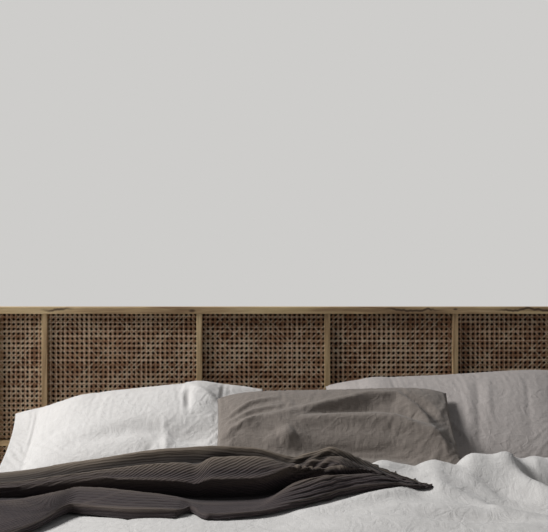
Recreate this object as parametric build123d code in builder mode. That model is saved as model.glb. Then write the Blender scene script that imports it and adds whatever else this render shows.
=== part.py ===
"""Wide double bed with a slim timber headboard filled with woven cane, a slatted base and linen bedding.

Millimetres. +X is to the right when looking at the headboard from the foot, +Y runs from the
foot to the headboard, and +Z is up. The origin is on the floor at the middle of the whole bed.
"""
import os
from math import sqrt

from build123d import *

os.makedirs("parts", exist_ok=True)

# Headboard: outside size, then the members seen from the front
headboard_width = 2140.0
headboard_height = 1050.0
headboard_depth = 40.0
post_width = 40.0
top_rail_height = 22.0
mid_rail_height = 17.0
mid_rail_top = 632.0
bottom_rail_height = 60.0
bottom_rail_top = 300.0
stile_width = 18.0
inner_panel_pitch = headboard_width * 0.1874
outer_panel_pitch = headboard_width * 0.2266
stile_setback = 3.0
edge_round = 1.5

# How far a cutting block runs past a face, how far a joined block laps, and the gap at rest
cut_margin = 1.0
join_lap = 0.1
rest_gap = 0.3

# Cane sheets sit in grooves, and a thin dark board closes the back of the headboard
cane_thickness = 2.4
cane_setback = 9.0
groove_depth = 5.0
groove_clearance = 0.3
back_board_thickness = 5.0
back_board_recess = 3.0
back_board_lap = 10.0

# Stub tenons of the headboard frame
tenon_length = 10.0
tenon_thickness = 8.0
tenon_shoulder = 3.0
side_tenon_length = 5.0
joint_clearance = 0.15

# Mattress
mattress_width = 1800.0
mattress_length = 2000.0
mattress_thickness = 270.0
mattress_bottom = 315.0
mattress_corner = 55.0
mattress_edge = 28.0
mattress_clearance = 8.0

# Base: rails, legs, centre beam
rail_thickness = 25.0
rail_height = 140.0
rail_top = 345.0
rail_corner = 8.0
leg_size = 56.0
leg_foot_size = 40.0
beam_width = 60.0
beam_height = 55.0
centre_leg_diameter = 45.0
centre_leg_foot = 34.0
centre_leg_spacing = 900.0

# Sprung slats in holders
slat_count = 13
slat_width = 53.0
slat_thickness = 8.0
slat_rise = 12.0
slat_end_gap = 4.0
holder_length = 32.0
holder_width = 64.0
holder_floor = 3.0
holder_roof = 3.0
holder_clearance = 0.4
ledge_width = 34.0
ledge_height = 40.0

# Duvet, spread over three sides
duvet_thickness = 58.0
duvet_side_reach = 72.0
duvet_foot_reach = 80.0
duvet_skirt_thickness = 46.0
duvet_bottom = 365.0
duvet_head_line = 660.0
duvet_round = 52.0
duvet_side_round = 180.0
soft_gap = 0.5

# The duvet is bunched into a crest at its head end, which grows from the left to the right
crest_rise_left = 35.0
crest_rise_right = 100.0
crest_run = 60.0
crest_shoulder_run = 55.0
crest_shoulder_share = 0.72
crest_fall = 150.0

# Throw, lying over the duvet and down its left side
throw_thickness = 14.0
throw_flap_bottom = 455.0

# Pillows: outline, crown and how they lie
pillow_length = 500.0
pillow_width = 735.0
white_pillow_thickness = 104.0
white_pillow_x = -560.0
white_pillow_distance = 270.0
white_pillow_lean = 23.0
white_pillow_roll = 5.0
stone_pillow_thickness = 106.0
stone_pillow_x = 380.0
stone_pillow_distance = 242.0
stone_pillow_lean = 28.5
grey_pillow_width = 690.0
grey_pillow_length = 440.0
grey_pillow_thickness = 88.0
grey_pillow_distance = 496.0
grey_pillow_lean = 29.0
pillow_rim = 14.0
pillow_corner = 38.0
pillow_corner_growth = 0.2
pillow_slope = 70.0
pillow_shoulder = 0.33
pillow_crown = 230.0

# Places worked out from the sizes
overall_length = (headboard_depth + rail_thickness + mattress_clearance
                  + mattress_length + duvet_foot_reach)
y_back = overall_length / 2
y_front = y_back - headboard_depth
y_head_rail = y_front - rail_thickness
y_mattress_head = y_head_rail - mattress_clearance
y_mattress_foot = y_mattress_head - mattress_length
y_foot_rail = y_mattress_foot - mattress_clearance
base_inner_width = mattress_width + 2 * mattress_clearance
base_outer_width = base_inner_width + 2 * rail_thickness
rail_bottom = rail_top - rail_height
mattress_top = mattress_bottom + mattress_thickness
leg_top = mattress_bottom - rest_gap - slat_thickness - slat_rise - holder_floor
duvet_top = mattress_top + soft_gap + duvet_thickness
top_rail_bottom = headboard_height - top_rail_height
mid_rail_bottom = mid_rail_top - mid_rail_height
bottom_rail_bottom = bottom_rail_top - bottom_rail_height
stile_centres = [-inner_panel_pitch - outer_panel_pitch, -inner_panel_pitch, 0.0,
                 inner_panel_pitch, inner_panel_pitch + outer_panel_pitch]
post_inner_x = headboard_width / 2 - post_width
y_stile_front = y_front + stile_setback
y_board_front = y_back - back_board_recess - back_board_thickness
y_cane_front = y_stile_front + cane_setback
y_cane_middle = y_cane_front + cane_thickness / 2
y_tenon_middle = (y_cane_front + cane_thickness + groove_clearance + tenon_shoulder / 2
                  + tenon_thickness / 2)

# The clear width of each panel, from its left edge to its right edge
panel_lefts = [-post_inner_x] + [x + stile_width / 2 for x in stile_centres]
panel_rights = [x - stile_width / 2 for x in stile_centres] + [post_inner_x]
panel_rows = [("upper", mid_rail_top, top_rail_bottom),
              ("lower", bottom_rail_top, mid_rail_bottom)]


def block(x, y, z, mode=Mode.ADD):
    """A plain block between two values on each axis, given as (low, high) pairs."""
    with Locations(((x[0] + x[1]) / 2, (y[0] + y[1]) / 2, (z[0] + z[1]) / 2)):
        return Box(x[1] - x[0], y[1] - y[0], z[1] - z[0], mode=mode)


def around(middle, width):
    """The (low, high) pair of a span about its middle."""
    return (middle - width / 2, middle + width / 2)


def keep(piece, label):
    """Label a finished piece and write it as its own file."""
    piece.part.label = label
    export_step(piece.part, f"parts/{label}.step")


def groove(x, z):
    """Cut the groove that holds a cane sheet's edge."""
    block(x, around(y_cane_middle, cane_thickness + 2 * groove_clearance), z, Mode.SUBTRACT)


def tenon(x, z, extra, mode):
    """A stub tenon, or its mortise when extra is the clearance and the mode subtracts."""
    block((x[0] - extra, x[1] + extra), around(y_tenon_middle, tenon_thickness + 2 * extra),
          (z[0] - extra, z[1] + extra), mode)


def stile_tenons(extra, mode, middle):
    """The tenons at both ends of a stile."""
    width = around(middle, stile_width - 2 * tenon_shoulder)
    tenon(width, (top_rail_bottom - join_lap, top_rail_bottom + tenon_length), extra, mode)
    tenon(width, (bottom_rail_top - tenon_length, bottom_rail_top + join_lap), extra, mode)


def mid_rail_tenons(left, right, extra, mode):
    """The tenons at both ends of one short rail."""
    height = (mid_rail_bottom + tenon_shoulder, mid_rail_top - tenon_shoulder)
    tenon((left - side_tenon_length, left + join_lap), height, extra, mode)
    tenon((right - join_lap, right + side_tenon_length), height, extra, mode)


# Headboard frame
def headboard_post(side):
    """An end post from the floor to the top rail; side is -1 at the left and 1 at the right."""
    inner = side * post_inner_x
    x = sorted((inner, inner + side * post_width))
    with BuildPart() as post:
        block(x, (y_front, y_back), (0, top_rail_bottom))
        fillet(post.edges().filter_by(Axis.Z), edge_round)
        past = inner - side * cut_margin
        block(sorted((past, inner + side * back_board_lap)), (y_board_front, y_back + cut_margin),
              (bottom_rail_bottom + back_board_lap, headboard_height), Mode.SUBTRACT)
        for _, low, high in panel_rows:
            groove(sorted((past, inner + side * groove_depth)),
                   (low - groove_depth, high + groove_depth))
        tenon(sorted((past, inner + side * side_tenon_length)),
              (mid_rail_bottom + tenon_shoulder, mid_rail_top - tenon_shoulder),
              joint_clearance, Mode.SUBTRACT)
        tenon(sorted((past, inner + side * tenon_length)),
              (bottom_rail_bottom + tenon_length, bottom_rail_top - tenon_length),
              joint_clearance, Mode.SUBTRACT)
    return post


for side, name in ((-1, "left"), (1, "right")):
    keep(headboard_post(side), f"headboard_post_{name}")

with BuildPart() as top_rail:
    block((-headboard_width / 2, headboard_width / 2), (y_front, y_back),
          (top_rail_bottom, headboard_height))
    fillet(top_rail.edges().filter_by(Axis.X), edge_round)
    fillet(top_rail.edges().filter_by(Axis.Z), edge_round)
    block((-post_inner_x - back_board_lap, post_inner_x + back_board_lap),
          (y_board_front, y_back + cut_margin),
          (top_rail_bottom - cut_margin, top_rail_bottom + back_board_lap), Mode.SUBTRACT)
    for left, right in zip(panel_lefts, panel_rights):
        groove((left - groove_depth, right + groove_depth),
               (top_rail_bottom - cut_margin, top_rail_bottom + groove_depth))
    for middle in stile_centres:
        stile_tenons(joint_clearance, Mode.SUBTRACT, middle)
keep(top_rail, "headboard_top_rail")

with BuildPart() as bottom_rail:
    block((-post_inner_x, post_inner_x), (y_front, y_back), (bottom_rail_bottom, bottom_rail_top))
    block(around(0, 2 * (post_inner_x + cut_margin)), (y_board_front, y_back + cut_margin),
          (bottom_rail_bottom + back_board_lap, bottom_rail_top + cut_margin), Mode.SUBTRACT)
    for left, right in zip(panel_lefts, panel_rights):
        groove((left - groove_depth, right + groove_depth),
               (bottom_rail_top - groove_depth, bottom_rail_top + cut_margin))
    for middle in stile_centres:
        stile_tenons(joint_clearance, Mode.SUBTRACT, middle)
    for end in (-1, 1):
        tenon(sorted((end * (post_inner_x - join_lap), end * (post_inner_x + tenon_length))),
              (bottom_rail_bottom + tenon_length, bottom_rail_top - tenon_length), 0, Mode.ADD)
keep(bottom_rail, "headboard_bottom_rail")

for number, middle in enumerate(stile_centres, 1):
    with BuildPart() as stile:
        block(around(middle, stile_width), (y_stile_front, y_board_front),
              (bottom_rail_top, top_rail_bottom))
        fillet(stile.edges().filter_by(Axis.Z).group_by(Axis.Y)[0], edge_round)
        for face in (-1, 1):
            outer = middle + face * stile_width / 2
            past = outer + face * cut_margin
            for _, low, high in panel_rows:
                groove(sorted((outer - face * groove_depth, past)),
                       (low - groove_depth, high + groove_depth))
            tenon(sorted((outer - face * side_tenon_length, past)),
                  (mid_rail_bottom + tenon_shoulder, mid_rail_top - tenon_shoulder),
                  joint_clearance, Mode.SUBTRACT)
        stile_tenons(0, Mode.ADD, middle)
    keep(stile, f"headboard_stile_{number}")

with BuildPart() as mid_rails:
    for left, right in zip(panel_lefts, panel_rights):
        block((left, right), (y_stile_front, y_board_front), (mid_rail_bottom, mid_rail_top))
        across = (left - cut_margin, right + cut_margin)
        groove(across, (mid_rail_top - groove_depth, mid_rail_top + cut_margin))
        groove(across, (mid_rail_bottom - cut_margin, mid_rail_bottom + groove_depth))
        mid_rail_tenons(left, right, 0, Mode.ADD)
keep(mid_rails, "headboard_mid_rails")

with BuildPart() as back_board:
    lap = back_board_lap - groove_clearance
    block((-post_inner_x - lap, post_inner_x + lap),
          (y_board_front, y_board_front + back_board_thickness),
          (bottom_rail_bottom + back_board_lap, top_rail_bottom + lap))
keep(back_board, "headboard_back_board")

# Cane sheets, one in each opening of the frame
cane_lap = groove_depth - groove_clearance
for row, low, high in panel_rows:
    for number, (left, right) in enumerate(zip(panel_lefts, panel_rights), 1):
        with BuildPart() as cane:
            block((left - cane_lap, right + cane_lap), around(y_cane_middle, cane_thickness),
                  (low - cane_lap, high + cane_lap))
        keep(cane, f"cane_{row}_{number}")

# Base rails
for name, low_y in (("head", y_head_rail), ("foot", y_foot_rail - rail_thickness)):
    with BuildPart() as cross_rail:
        block((-base_outer_width / 2, base_outer_width / 2), (low_y, low_y + rail_thickness),
              (rail_bottom, rail_top))
        outer_side = cross_rail.edges().filter_by(Axis.Z).group_by(Axis.Y)
        if name == "foot":
            fillet(outer_side[0], rail_corner)
        fillet(cross_rail.edges().filter_by(Axis.X), edge_round)
    keep(cross_rail, f"{name}_rail")

for side, name in ((-1, "left"), (1, "right")):
    with BuildPart() as side_rail:
        x = sorted((side * base_inner_width / 2, side * base_outer_width / 2))
        block(x, (y_foot_rail, y_head_rail), (rail_bottom, rail_top))
        fillet(side_rail.edges().filter_by(Axis.Y), edge_round)
    keep(side_rail, f"side_rail_{name}")

# Corner legs: square inside the rails, tapered below them on their two inner sides
for side, name in ((-1, "left"), (1, "right")):
    for end, place, corner_y in ((-1, "foot", y_foot_rail), (1, "head", y_head_rail)):
        corner_x = side * base_inner_width / 2
        with BuildPart() as leg:
            block(sorted((corner_x, corner_x - side * leg_size)),
                  sorted((corner_y, corner_y - end * leg_size)), (rail_bottom, leg_top))
            for level, size in ((rail_bottom, leg_size), (0, leg_foot_size)):
                with BuildSketch(Plane.XY.offset(level)):
                    with Locations((corner_x - side * leg_size / 2, corner_y - end * leg_size / 2)):
                        Rectangle(size, size)
            loft()
        keep(leg, f"leg_{place}_{name}")

with BuildPart() as beam:
    block(around(0, beam_width), (y_foot_rail, y_head_rail), (leg_top - beam_height, leg_top))
keep(beam, "centre_beam")

y_base_middle = (y_foot_rail + y_head_rail) / 2
with BuildPart() as centre_legs:
    for offset_y in (-centre_leg_spacing / 2, centre_leg_spacing / 2):
        for level, size in ((leg_top - beam_height, centre_leg_diameter), (0, centre_leg_foot)):
            with BuildSketch(Plane.XY.offset(level)):
                with Locations((0, y_base_middle + offset_y)):
                    Circle(size / 2)
        loft()
keep(centre_legs, "centre_legs")

# Ledges carry the outer slat holders, between the legs
for side, name in ((-1, "left"), (1, "right")):
    with BuildPart() as ledge:
        inner = side * base_inner_width / 2
        block(sorted((inner, inner - side * ledge_width)),
              (y_foot_rail + leg_size, y_head_rail - leg_size), (leg_top - ledge_height, leg_top))
    keep(ledge, f"slat_ledge_{name}")

# Sprung slats and their holders, in two columns
slat_field = y_head_rail - y_foot_rail - 2 * leg_size
slat_pitch = (slat_field - holder_width) / (slat_count - 1)
slat_places = [y_foot_rail + leg_size + holder_width / 2 + i * slat_pitch
               for i in range(slat_count)]
slat_bottom = leg_top + holder_floor
slat_span = base_inner_width / 2 - 2 * slat_end_gap
slat_middle_x = base_inner_width / 4
slat_radius = (slat_rise ** 2 + (slat_span / 2) ** 2) / (2 * slat_rise)


def bowed_slat(middle):
    """A slat bent upwards in the middle, cut from a ring of its own thickness."""
    centre_z = slat_bottom + slat_rise - slat_radius
    with BuildSketch(Plane.XZ.offset(-middle[1] - slat_width / 2)) as profile:
        with BuildLine():
            low_left = (middle[0] - slat_span / 2, slat_bottom)
            low_right = (middle[0] + slat_span / 2, slat_bottom)
            low_top = (middle[0], slat_bottom + slat_rise)
            up = (0, slat_thickness)
            high = [tuple(a + b for a, b in zip(p, up)) for p in (low_left, low_top, low_right)]
            ThreePointArc(low_left, low_top, low_right)
            ThreePointArc(*high)
            Line(low_left, high[0])
            Line(low_right, high[2])
        make_face()
    extrude(profile.sketch, slat_width)


def slat_end_rise(reach):
    """How much the bow has risen at a reach from the slat's end."""
    from_middle = slat_span / 2 - reach
    return sqrt(slat_radius ** 2 - from_middle ** 2) - (slat_radius - slat_rise)


def slat_holder(outer_x, inward, y):
    """A cap open towards the slat; inward is the way from its closed end to the slat."""
    far_x = outer_x + inward * holder_length
    slope = slat_end_rise(holder_length)
    pocket_low = slat_bottom - holder_clearance
    pocket_high = slat_bottom + slat_thickness + slope + holder_clearance
    block(sorted((outer_x, far_x)), around(y, holder_width), (leg_top, pocket_high + holder_roof))
    block(sorted((outer_x + inward * (slat_end_gap - holder_clearance),
                  far_x + inward * cut_margin)),
          around(y, slat_width + 2 * holder_clearance), (pocket_low, pocket_high), Mode.SUBTRACT)


for side, name in ((-1, "left"), (1, "right")):
    with BuildPart() as slats:
        for y in slat_places:
            bowed_slat((side * slat_middle_x, y))
    keep(slats, f"slats_{name}")
    with BuildPart() as holders:
        for y in slat_places:
            slat_holder(side * base_inner_width / 2, -side, y)
            slat_holder(0, side, y)
    keep(holders, f"slat_holders_{name}")

# Mattress
with BuildPart() as mattress:
    block(around(0, mattress_width), (y_mattress_foot, y_mattress_head),
          (mattress_bottom, mattress_top))
    fillet(mattress.edges().filter_by(Axis.Z), mattress_corner)
    rims = mattress.faces().filter_by(Axis.Z).edges()
    fillet(rims, mattress_edge)
keep(mattress, "mattress")

# The bed cover's outer form: its side profile with a crest at the head, cut to its end profile
y_duvet_head = y_mattress_head - duvet_head_line
y_cover_foot = y_mattress_foot - duvet_foot_reach
half_cover = mattress_width / 2 + duvet_side_reach


def side_outline(grow, x, rise):
    """The cover's section at one x, grown outwards: a crest at the head and a rounded foot edge."""
    top = duvet_top + grow
    head = (y_duvet_head, top)
    crest = (y_duvet_head - crest_run, top + rise)
    shoulder = (crest[0] - crest_shoulder_run, top + rise * crest_shoulder_share)
    fall_end = (crest[0] - crest_fall, top)
    foot_edge = (y_cover_foot + duvet_round, top)
    foot_wall = (y_cover_foot - grow, duvet_top - duvet_round)
    with BuildSketch(Plane.YZ.offset(x)) as outline:
        with BuildLine():
            TangentArc(crest, head, tangent=(1, 0))
            TangentArc(crest, shoulder, tangent=(-1, 0))
            Polyline(shoulder, fall_end, foot_edge)
            JernArc(foot_edge, (-1, 0), duvet_round + grow, 90)
            Polyline(foot_wall, (foot_wall[0], 0), (y_duvet_head, 0), head)
        make_face()
    return outline.sketch


def end_outline(grow):
    """The cover seen from the foot, grown outwards: rounded over both sides of the mattress."""
    wall = half_cover + grow
    turn = duvet_side_round + grow
    level = duvet_top + crest_rise_right - duvet_side_round
    with BuildSketch(Plane.XZ.offset(-y_back)) as outline:
        with BuildLine():
            JernArc((-wall, level), (0, 1), turn, -90)
            Line((-wall + turn, level + turn), (wall - turn, level + turn))
            JernArc((wall - turn, level + turn), (1, 0), turn, -90)
            Polyline((wall, level), (wall, 0), (-wall, 0), (-wall, level))
        make_face()
    return outline.sketch


def cover_form(grow):
    """The solid under the cover's outer surface, down to the floor."""
    wall = half_cover + grow
    with BuildPart() as form:
        loft([side_outline(grow, -wall, crest_rise_left), side_outline(grow, wall, crest_rise_right)])
        extrude(end_outline(grow), overall_length + 2 * grow, mode=Mode.INTERSECT)
    return form.part


with BuildPart() as duvet:
    add(cover_form(0))
    block(around(0, 2 * (half_cover + cut_margin)), (y_cover_foot - cut_margin, y_back),
          (-cut_margin, duvet_bottom), Mode.SUBTRACT)
    block(around(0, 2 * (half_cover - duvet_skirt_thickness)),
          (y_cover_foot + duvet_skirt_thickness, y_back), (0, mattress_top + soft_gap),
          Mode.SUBTRACT)
keep(duvet, "duvet")

# The throw's outline seen from above, from its tip round its front edge to the left side:
# x, and the distance from the headboard
throw_outline = [(178, 880), (-40, 890), (-210, 1002), (-314, 1014), (-600, 966), (-640, 1090),
                 (-700, 1240), (-780, 1330), (-1100, 1370), (-1100, 700), (40, 745)]

# Its two long folds, from the left to the tip: x, distance from the headboard, rise over the duvet,
# half width
back_fold = [(-940, 770, 20, 80), (-760, 770, 62, 85), (-450, 780, 108, 90), (-310, 790, 118, 90),
             (-120, 810, 92, 85), (-40, 805, 118, 85), (120, 835, 68, 60), (180, 870, 30, 40)]
front_fold = [(-900, 950, 17, 80), (-640, 900, 40, 70), (-450, 905, 38, 70), (-310, 900, 24, 70),
              (-120, 905, 42, 60), (0, 865, 56, 50), (120, 855, 50, 40)]


def fold(stations):
    """A long fold of the throw, round on top."""
    with BuildPart() as ridge:
        for x, distance, rise, reach in stations:
            y = y_front - distance
            with BuildSketch(Plane.YZ.offset(x)):
                with BuildLine():
                    ThreePointArc((y - reach, duvet_top), (y, duvet_top + rise), (y + reach, duvet_top))
                    Line((y + reach, duvet_top), (y - reach, duvet_top))
                make_face()
        loft(ruled=True)
    return ridge.part


with BuildPart() as throw:
    with BuildSketch(Plane.XY.offset(throw_flap_bottom)) as outline:
        with BuildLine():
            Polyline(*[(x, y_front - distance) for x, distance in throw_outline], close=True)
        make_face()
    column = extrude(outline.sketch, headboard_height, mode=Mode.PRIVATE)
    under = cover_form(soft_gap)
    for upper in (cover_form(throw_thickness), fold(back_fold), fold(front_fold)):
        add((upper & column) - under)
keep(throw, "throw")


# Pillows: crowned on both sides, thin at the rim
def pillow_form(width, length, thickness):
    """A pillow lying flat about the origin."""
    levels = [(0.0, pillow_rim / 2), (pillow_slope, thickness * pillow_shoulder),
              (pillow_crown, thickness / 2)]
    with BuildPart() as pillow:
        for inset, level in levels:
            with BuildSketch(Plane.XY.offset(level)):
                RectangleRounded(width - inset, length - inset,
                                 pillow_corner + inset * pillow_corner_growth)
        loft(ruled=True)
        mirror(about=Plane.XY)
        with BuildSketch(Plane.XY.offset(-pillow_rim / 2)):
            RectangleRounded(width, length, pillow_corner)
        extrude(amount=pillow_rim)
    return pillow.part


# Each pillow: name, width, length, thickness, centre x, distance from the headboard, lean, roll.
# Leant back and rolled, it is let down on the mattress.
pillow_places = [
    ("pillow_white", pillow_width, pillow_length, white_pillow_thickness,
     white_pillow_x, white_pillow_distance, white_pillow_lean, white_pillow_roll),
    ("pillow_stone", pillow_width, pillow_length, stone_pillow_thickness,
     stone_pillow_x, stone_pillow_distance, stone_pillow_lean, 0),
    ("pillow_grey", grey_pillow_width, grey_pillow_length, grey_pillow_thickness,
     0, grey_pillow_distance, grey_pillow_lean, 0),
]
for name, width, length, thickness, x, distance, lean, roll in pillow_places:
    leant = Rotation(lean, 0, 0) * Rotation(0, 0, roll) * pillow_form(width, length, thickness)
    height = mattress_top + rest_gap - leant.bounding_box().min.Z
    with BuildPart() as pillow:
        add(Location((x, y_front - distance, height)) * leant)
    keep(pillow, name)
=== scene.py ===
"""Looks for a wide double bed: a timber and woven cane headboard, a slatted base and linen bedding.

Metres. +X is to the right when facing the headboard, +Y runs from the foot to the headboard, +Z is up.
"""

import math

import bpy
import numpy as np
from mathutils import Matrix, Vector
from mathutils.bvhtree import BVHTree


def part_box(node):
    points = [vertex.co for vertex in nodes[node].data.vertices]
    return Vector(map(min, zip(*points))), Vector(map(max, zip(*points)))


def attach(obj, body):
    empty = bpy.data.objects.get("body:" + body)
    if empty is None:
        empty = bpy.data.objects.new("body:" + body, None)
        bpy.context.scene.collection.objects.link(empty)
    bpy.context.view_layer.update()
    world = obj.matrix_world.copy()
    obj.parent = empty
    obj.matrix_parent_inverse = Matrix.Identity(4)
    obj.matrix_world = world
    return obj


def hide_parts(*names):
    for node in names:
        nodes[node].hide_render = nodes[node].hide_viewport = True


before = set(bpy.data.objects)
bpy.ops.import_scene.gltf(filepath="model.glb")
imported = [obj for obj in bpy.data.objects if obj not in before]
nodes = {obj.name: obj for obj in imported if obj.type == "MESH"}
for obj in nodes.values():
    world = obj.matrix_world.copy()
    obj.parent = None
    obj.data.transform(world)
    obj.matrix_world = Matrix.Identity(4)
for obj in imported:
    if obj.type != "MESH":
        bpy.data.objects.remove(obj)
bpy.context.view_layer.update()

# The photograph's width and its camera's focal length in pixels, and where that camera stands
photo_width = 548
photo_focal = 960
camera_place = (-0.167, -1.9635, 1.178)

# What the soft pieces are built on; their distances are measured from the headboard's front
mattress_low, mattress_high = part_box("mattress")
rail_low, rail_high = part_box("headboard_top_rail")
board_front = rail_low.y


# Colours and node materials
def linear(red, green, blue):
    """A colour written in screen values from 0 to 255, as the linear colour that Blender takes."""
    values = []
    for value in (red, green, blue):
        share = value / 255
        values.append(share / 12.92 if share <= 0.04045 else ((share + 0.055) / 1.055) ** 2.4)
    return (*values, 1.0)


class Maker:
    """Adds nodes to one material, with values or other nodes' outputs as their inputs."""

    def __init__(self, name):
        self.material = bpy.data.materials.new(name)
        self.material.use_nodes = True
        self.tree = self.material.node_tree
        self.shader = self.tree.nodes["Principled BSDF"]

    def add(self, kind, inputs=None, **settings):
        """A node of one kind, with its inputs given by name or number."""
        node = self.tree.nodes.new(kind)
        for key, value in settings.items():
            setattr(node, key, value)
        for key, value in (inputs or {}).items():
            self.feed(node, key, value)
        return node

    def feed(self, node, key, value):
        """Link an output, or set a value, on a node's input."""
        if isinstance(value, bpy.types.NodeSocket):
            self.tree.links.new(value, node.inputs[key])
        else:
            node.inputs[key].default_value = value

    def place(self, scale=(1, 1, 1), shift=(0, 0, 0), source="Object"):
        """Coordinates in metres, stretched by a scale."""
        coordinates = self.add("ShaderNodeTexCoord").outputs[source]
        mapping = self.add("ShaderNodeMapping", {"Vector": coordinates, "Scale": scale, "Location": shift})
        return mapping.outputs["Vector"]

    def flat(self, scale=(1, 1, 1), shift=(0, 0, 0)):
        """Coordinates in the flat cloth's own plane."""
        return self.place(scale, shift, "UV")

    def worn(self, name):
        """A value that the mesh carries at each point."""
        return self.add("ShaderNodeAttribute", attribute_name=name).outputs["Fac"]

    def noise(self, vector, scale, detail=3.0, roughness=0.55, distortion=0.0):
        """A noise value from 0 to 1."""
        texture = self.add("ShaderNodeTexNoise", {
            "Vector": vector, "Scale": scale, "Detail": detail, "Roughness": roughness,
            "Distortion": distortion})
        return texture.outputs["Fac"]

    def math(self, operation, first, second=0.0, third=0.0):
        """One arithmetic step."""
        step = self.add("ShaderNodeMath", {0: first, 1: second, 2: third}, operation=operation)
        return step.outputs["Value"]

    def product(self, first, second):
        """Two values multiplied."""
        return self.math("MULTIPLY", first, second)

    def length(self, first, second):
        """The length of two values at a right angle."""
        return self.math("SQRT", self.math("ADD", self.product(first, first), self.product(second, second)))

    def remap(self, value, low, high, to_low=0.0, to_high=1.0):
        """A value's span from low to high, clamped to another span."""
        step = self.add("ShaderNodeMapRange", {
            "Value": value, "From Min": low, "From Max": high, "To Min": to_low, "To Max": to_high})
        return step.outputs["Result"]

    def ramp(self, value, stops):
        """Colours along a value: stops are (place, colour)."""
        step = self.add("ShaderNodeValToRGB", {"Fac": value})
        elements = step.color_ramp.elements
        while len(elements) < len(stops):
            elements.new(0.5)
        for element, (place, colour) in zip(elements, stops):
            element.position = place
            element.color = colour
        return step.outputs["Color"]

    def mix(self, share, first, second):
        """Two colours mixed."""
        step = self.add("ShaderNodeMix", data_type="RGBA")
        for key, value in ((0, share), (6, first), (7, second)):
            self.feed(step, key, value)
        return step.outputs[2]

    def axes(self, vector):
        """The three parts of a vector."""
        return self.add("ShaderNodeSeparateXYZ", {0: vector}).outputs

    def bump(self, height, distance, strength, normal=None):
        """A normal from a height from 0 to 1 over a distance in metres, on top of another if given."""
        inputs = {"Height": height, "Distance": distance, "Strength": strength}
        if normal is not None:
            inputs["Normal"] = normal
        return self.add("ShaderNodeBump", inputs).outputs["Normal"]

    def finish(self, **inputs):
        """Feed the shader and give back the material."""
        for key, value in inputs.items():
            self.feed(self.shader, key.replace("_", " ").title(), value)
        return self.material


def grained(along, with_grain, across_grain):
    """A scale that stretches a pattern along one axis."""
    return tuple(with_grain if axis == along else across_grain for axis in "XYZ")


def timber_material(name, along, streaks=False):
    """Oiled pale hardwood; along is the axis that the grain follows."""
    m = Maker(name)
    bands = m.noise(m.place(grained(along, 0.9, 14)), 3.2, 4, 0.6, 0.6)
    fibres = m.noise(m.place(grained(along, 6, 160)), 2.4, 3, 0.7)
    colour = m.ramp(bands, [(0.30, linear(142, 114, 82)), (0.46, linear(188, 160, 120)),
                            (0.60, linear(212, 187, 146)), (0.74, linear(168, 140, 102))])
    colour = m.mix(m.remap(fibres, 0.35, 0.75, 0.0, 0.30), colour, linear(104, 76, 46))
    if streaks:
        colour = waney_marks(m, colour)
    roughness = m.remap(fibres, 0.3, 0.8, 0.48, 0.66)
    relief = m.bump(fibres, 0.0006, 0.5)
    return m.finish(base_color=colour, roughness=roughness, normal=relief)


# Along the top rail: where its dark waney line shows, and its knots as place, height over the middle, size
waney_stretches = ((0.17, 0.36), (0.52, 0.75), (-0.9, -0.79))
waney_fade = 0.04
rail_knots = ((-0.423, -0.001, 0.006), (0.40, 0.004, 0.004))


def waney_marks(m, colour):
    """The top rail's pale sapwood, its knots and its dark waney line, where they lie along X."""
    x, _, z = m.axes(m.place())[:3]
    wave = m.noise(m.place((1, 0, 0)), 9.0, 4, 0.7)
    middle = (rail_low.z + rail_high.z) / 2
    sapwood = m.remap(m.noise(m.place((1, 0, 10), (3, 0, 0)), 2.6, 3), 0.52, 0.62)
    colour = m.mix(m.product(sapwood, 0.55), colour, linear(214, 190, 142))
    line = m.math("ADD", m.product(m.math("SUBTRACT", wave, 0.5), 0.05), middle + 0.002)
    away = m.math("ABSOLUTE", m.math("SUBTRACT", z, line))
    dark = m.remap(away, 0.0015, 0.0050, 1.0, 0.0)
    for low, high in waney_stretches:
        inside = m.product(m.remap(x, low, low + waney_fade), m.remap(x, high - waney_fade, high, 1.0, 0.0))
        colour = m.mix(m.product(m.product(dark, inside), 0.85), colour, linear(50, 30, 17))
    for knot_x, knot_rise, size in rail_knots:
        dx = m.product(m.math("SUBTRACT", x, knot_x), 0.45)
        dz = m.math("SUBTRACT", z, middle + knot_rise)
        colour = m.mix(m.remap(m.length(dx, dz), size * 0.4, size, 0.85, 0.0), colour, linear(58, 36, 22))
    return colour


def cane_material():
    """Glossy split cane: each strand has its own tone, with broad darker and lighter patches, partly the
    cane's own tone and partly painted sheen bands.
    """
    m = Maker("woven_cane")
    # Painted sheen: these broad patches lighten and darken the cane in bands, as well as varying its own
    # tone
    patches = m.noise(m.place((1.3, 1, 3.6)), 2.6, 3, 0.6, 0.8)
    tone = m.math("ADD", m.product(m.worn("tone"), 0.45), m.product(patches, 0.55))
    colour = m.ramp(tone, [(0.34, linear(146, 100, 70)), (0.5, linear(202, 162, 126)),
                           (0.64, linear(236, 214, 184))])
    flecks = m.noise(m.place((260, 260, 260)), 1.0, 2)
    colour = m.mix(m.remap(flecks, 0.55, 0.75, 0.0, 0.35), colour, linear(96, 66, 44))
    return m.finish(base_color=colour, roughness=0.42, normal=m.bump(flecks, 0.0004, 0.4))


def board_material():
    """The board behind the cane, stained near black; its darkness is also painted shade, standing in for the
    shade seen through the cane's holes.
    """
    m = Maker("dark_board")
    fibres = m.noise(m.place((40, 40, 2)), 2.0, 3)
    # Painted shade: the near-black colour gives the cane's holes their dark shade
    colour = m.ramp(fibres, [(0.3, linear(12, 6, 3)), (0.7, linear(20, 12, 8))])
    return m.finish(base_color=colour, roughness=0.8, normal=m.bump(fibres, 0.0006, 0.5))


def plastic_material():
    """Moulded black plastic with a fine grain."""
    m = Maker("moulded_plastic")
    grain = m.noise(m.place((900, 900, 900)), 1.0, 2)
    colour = m.ramp(grain, [(0.3, linear(34, 34, 34)), (0.7, linear(46, 46, 46))])
    return m.finish(base_color=colour, roughness=0.55, normal=m.bump(grain, 0.0002, 0.4))


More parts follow.
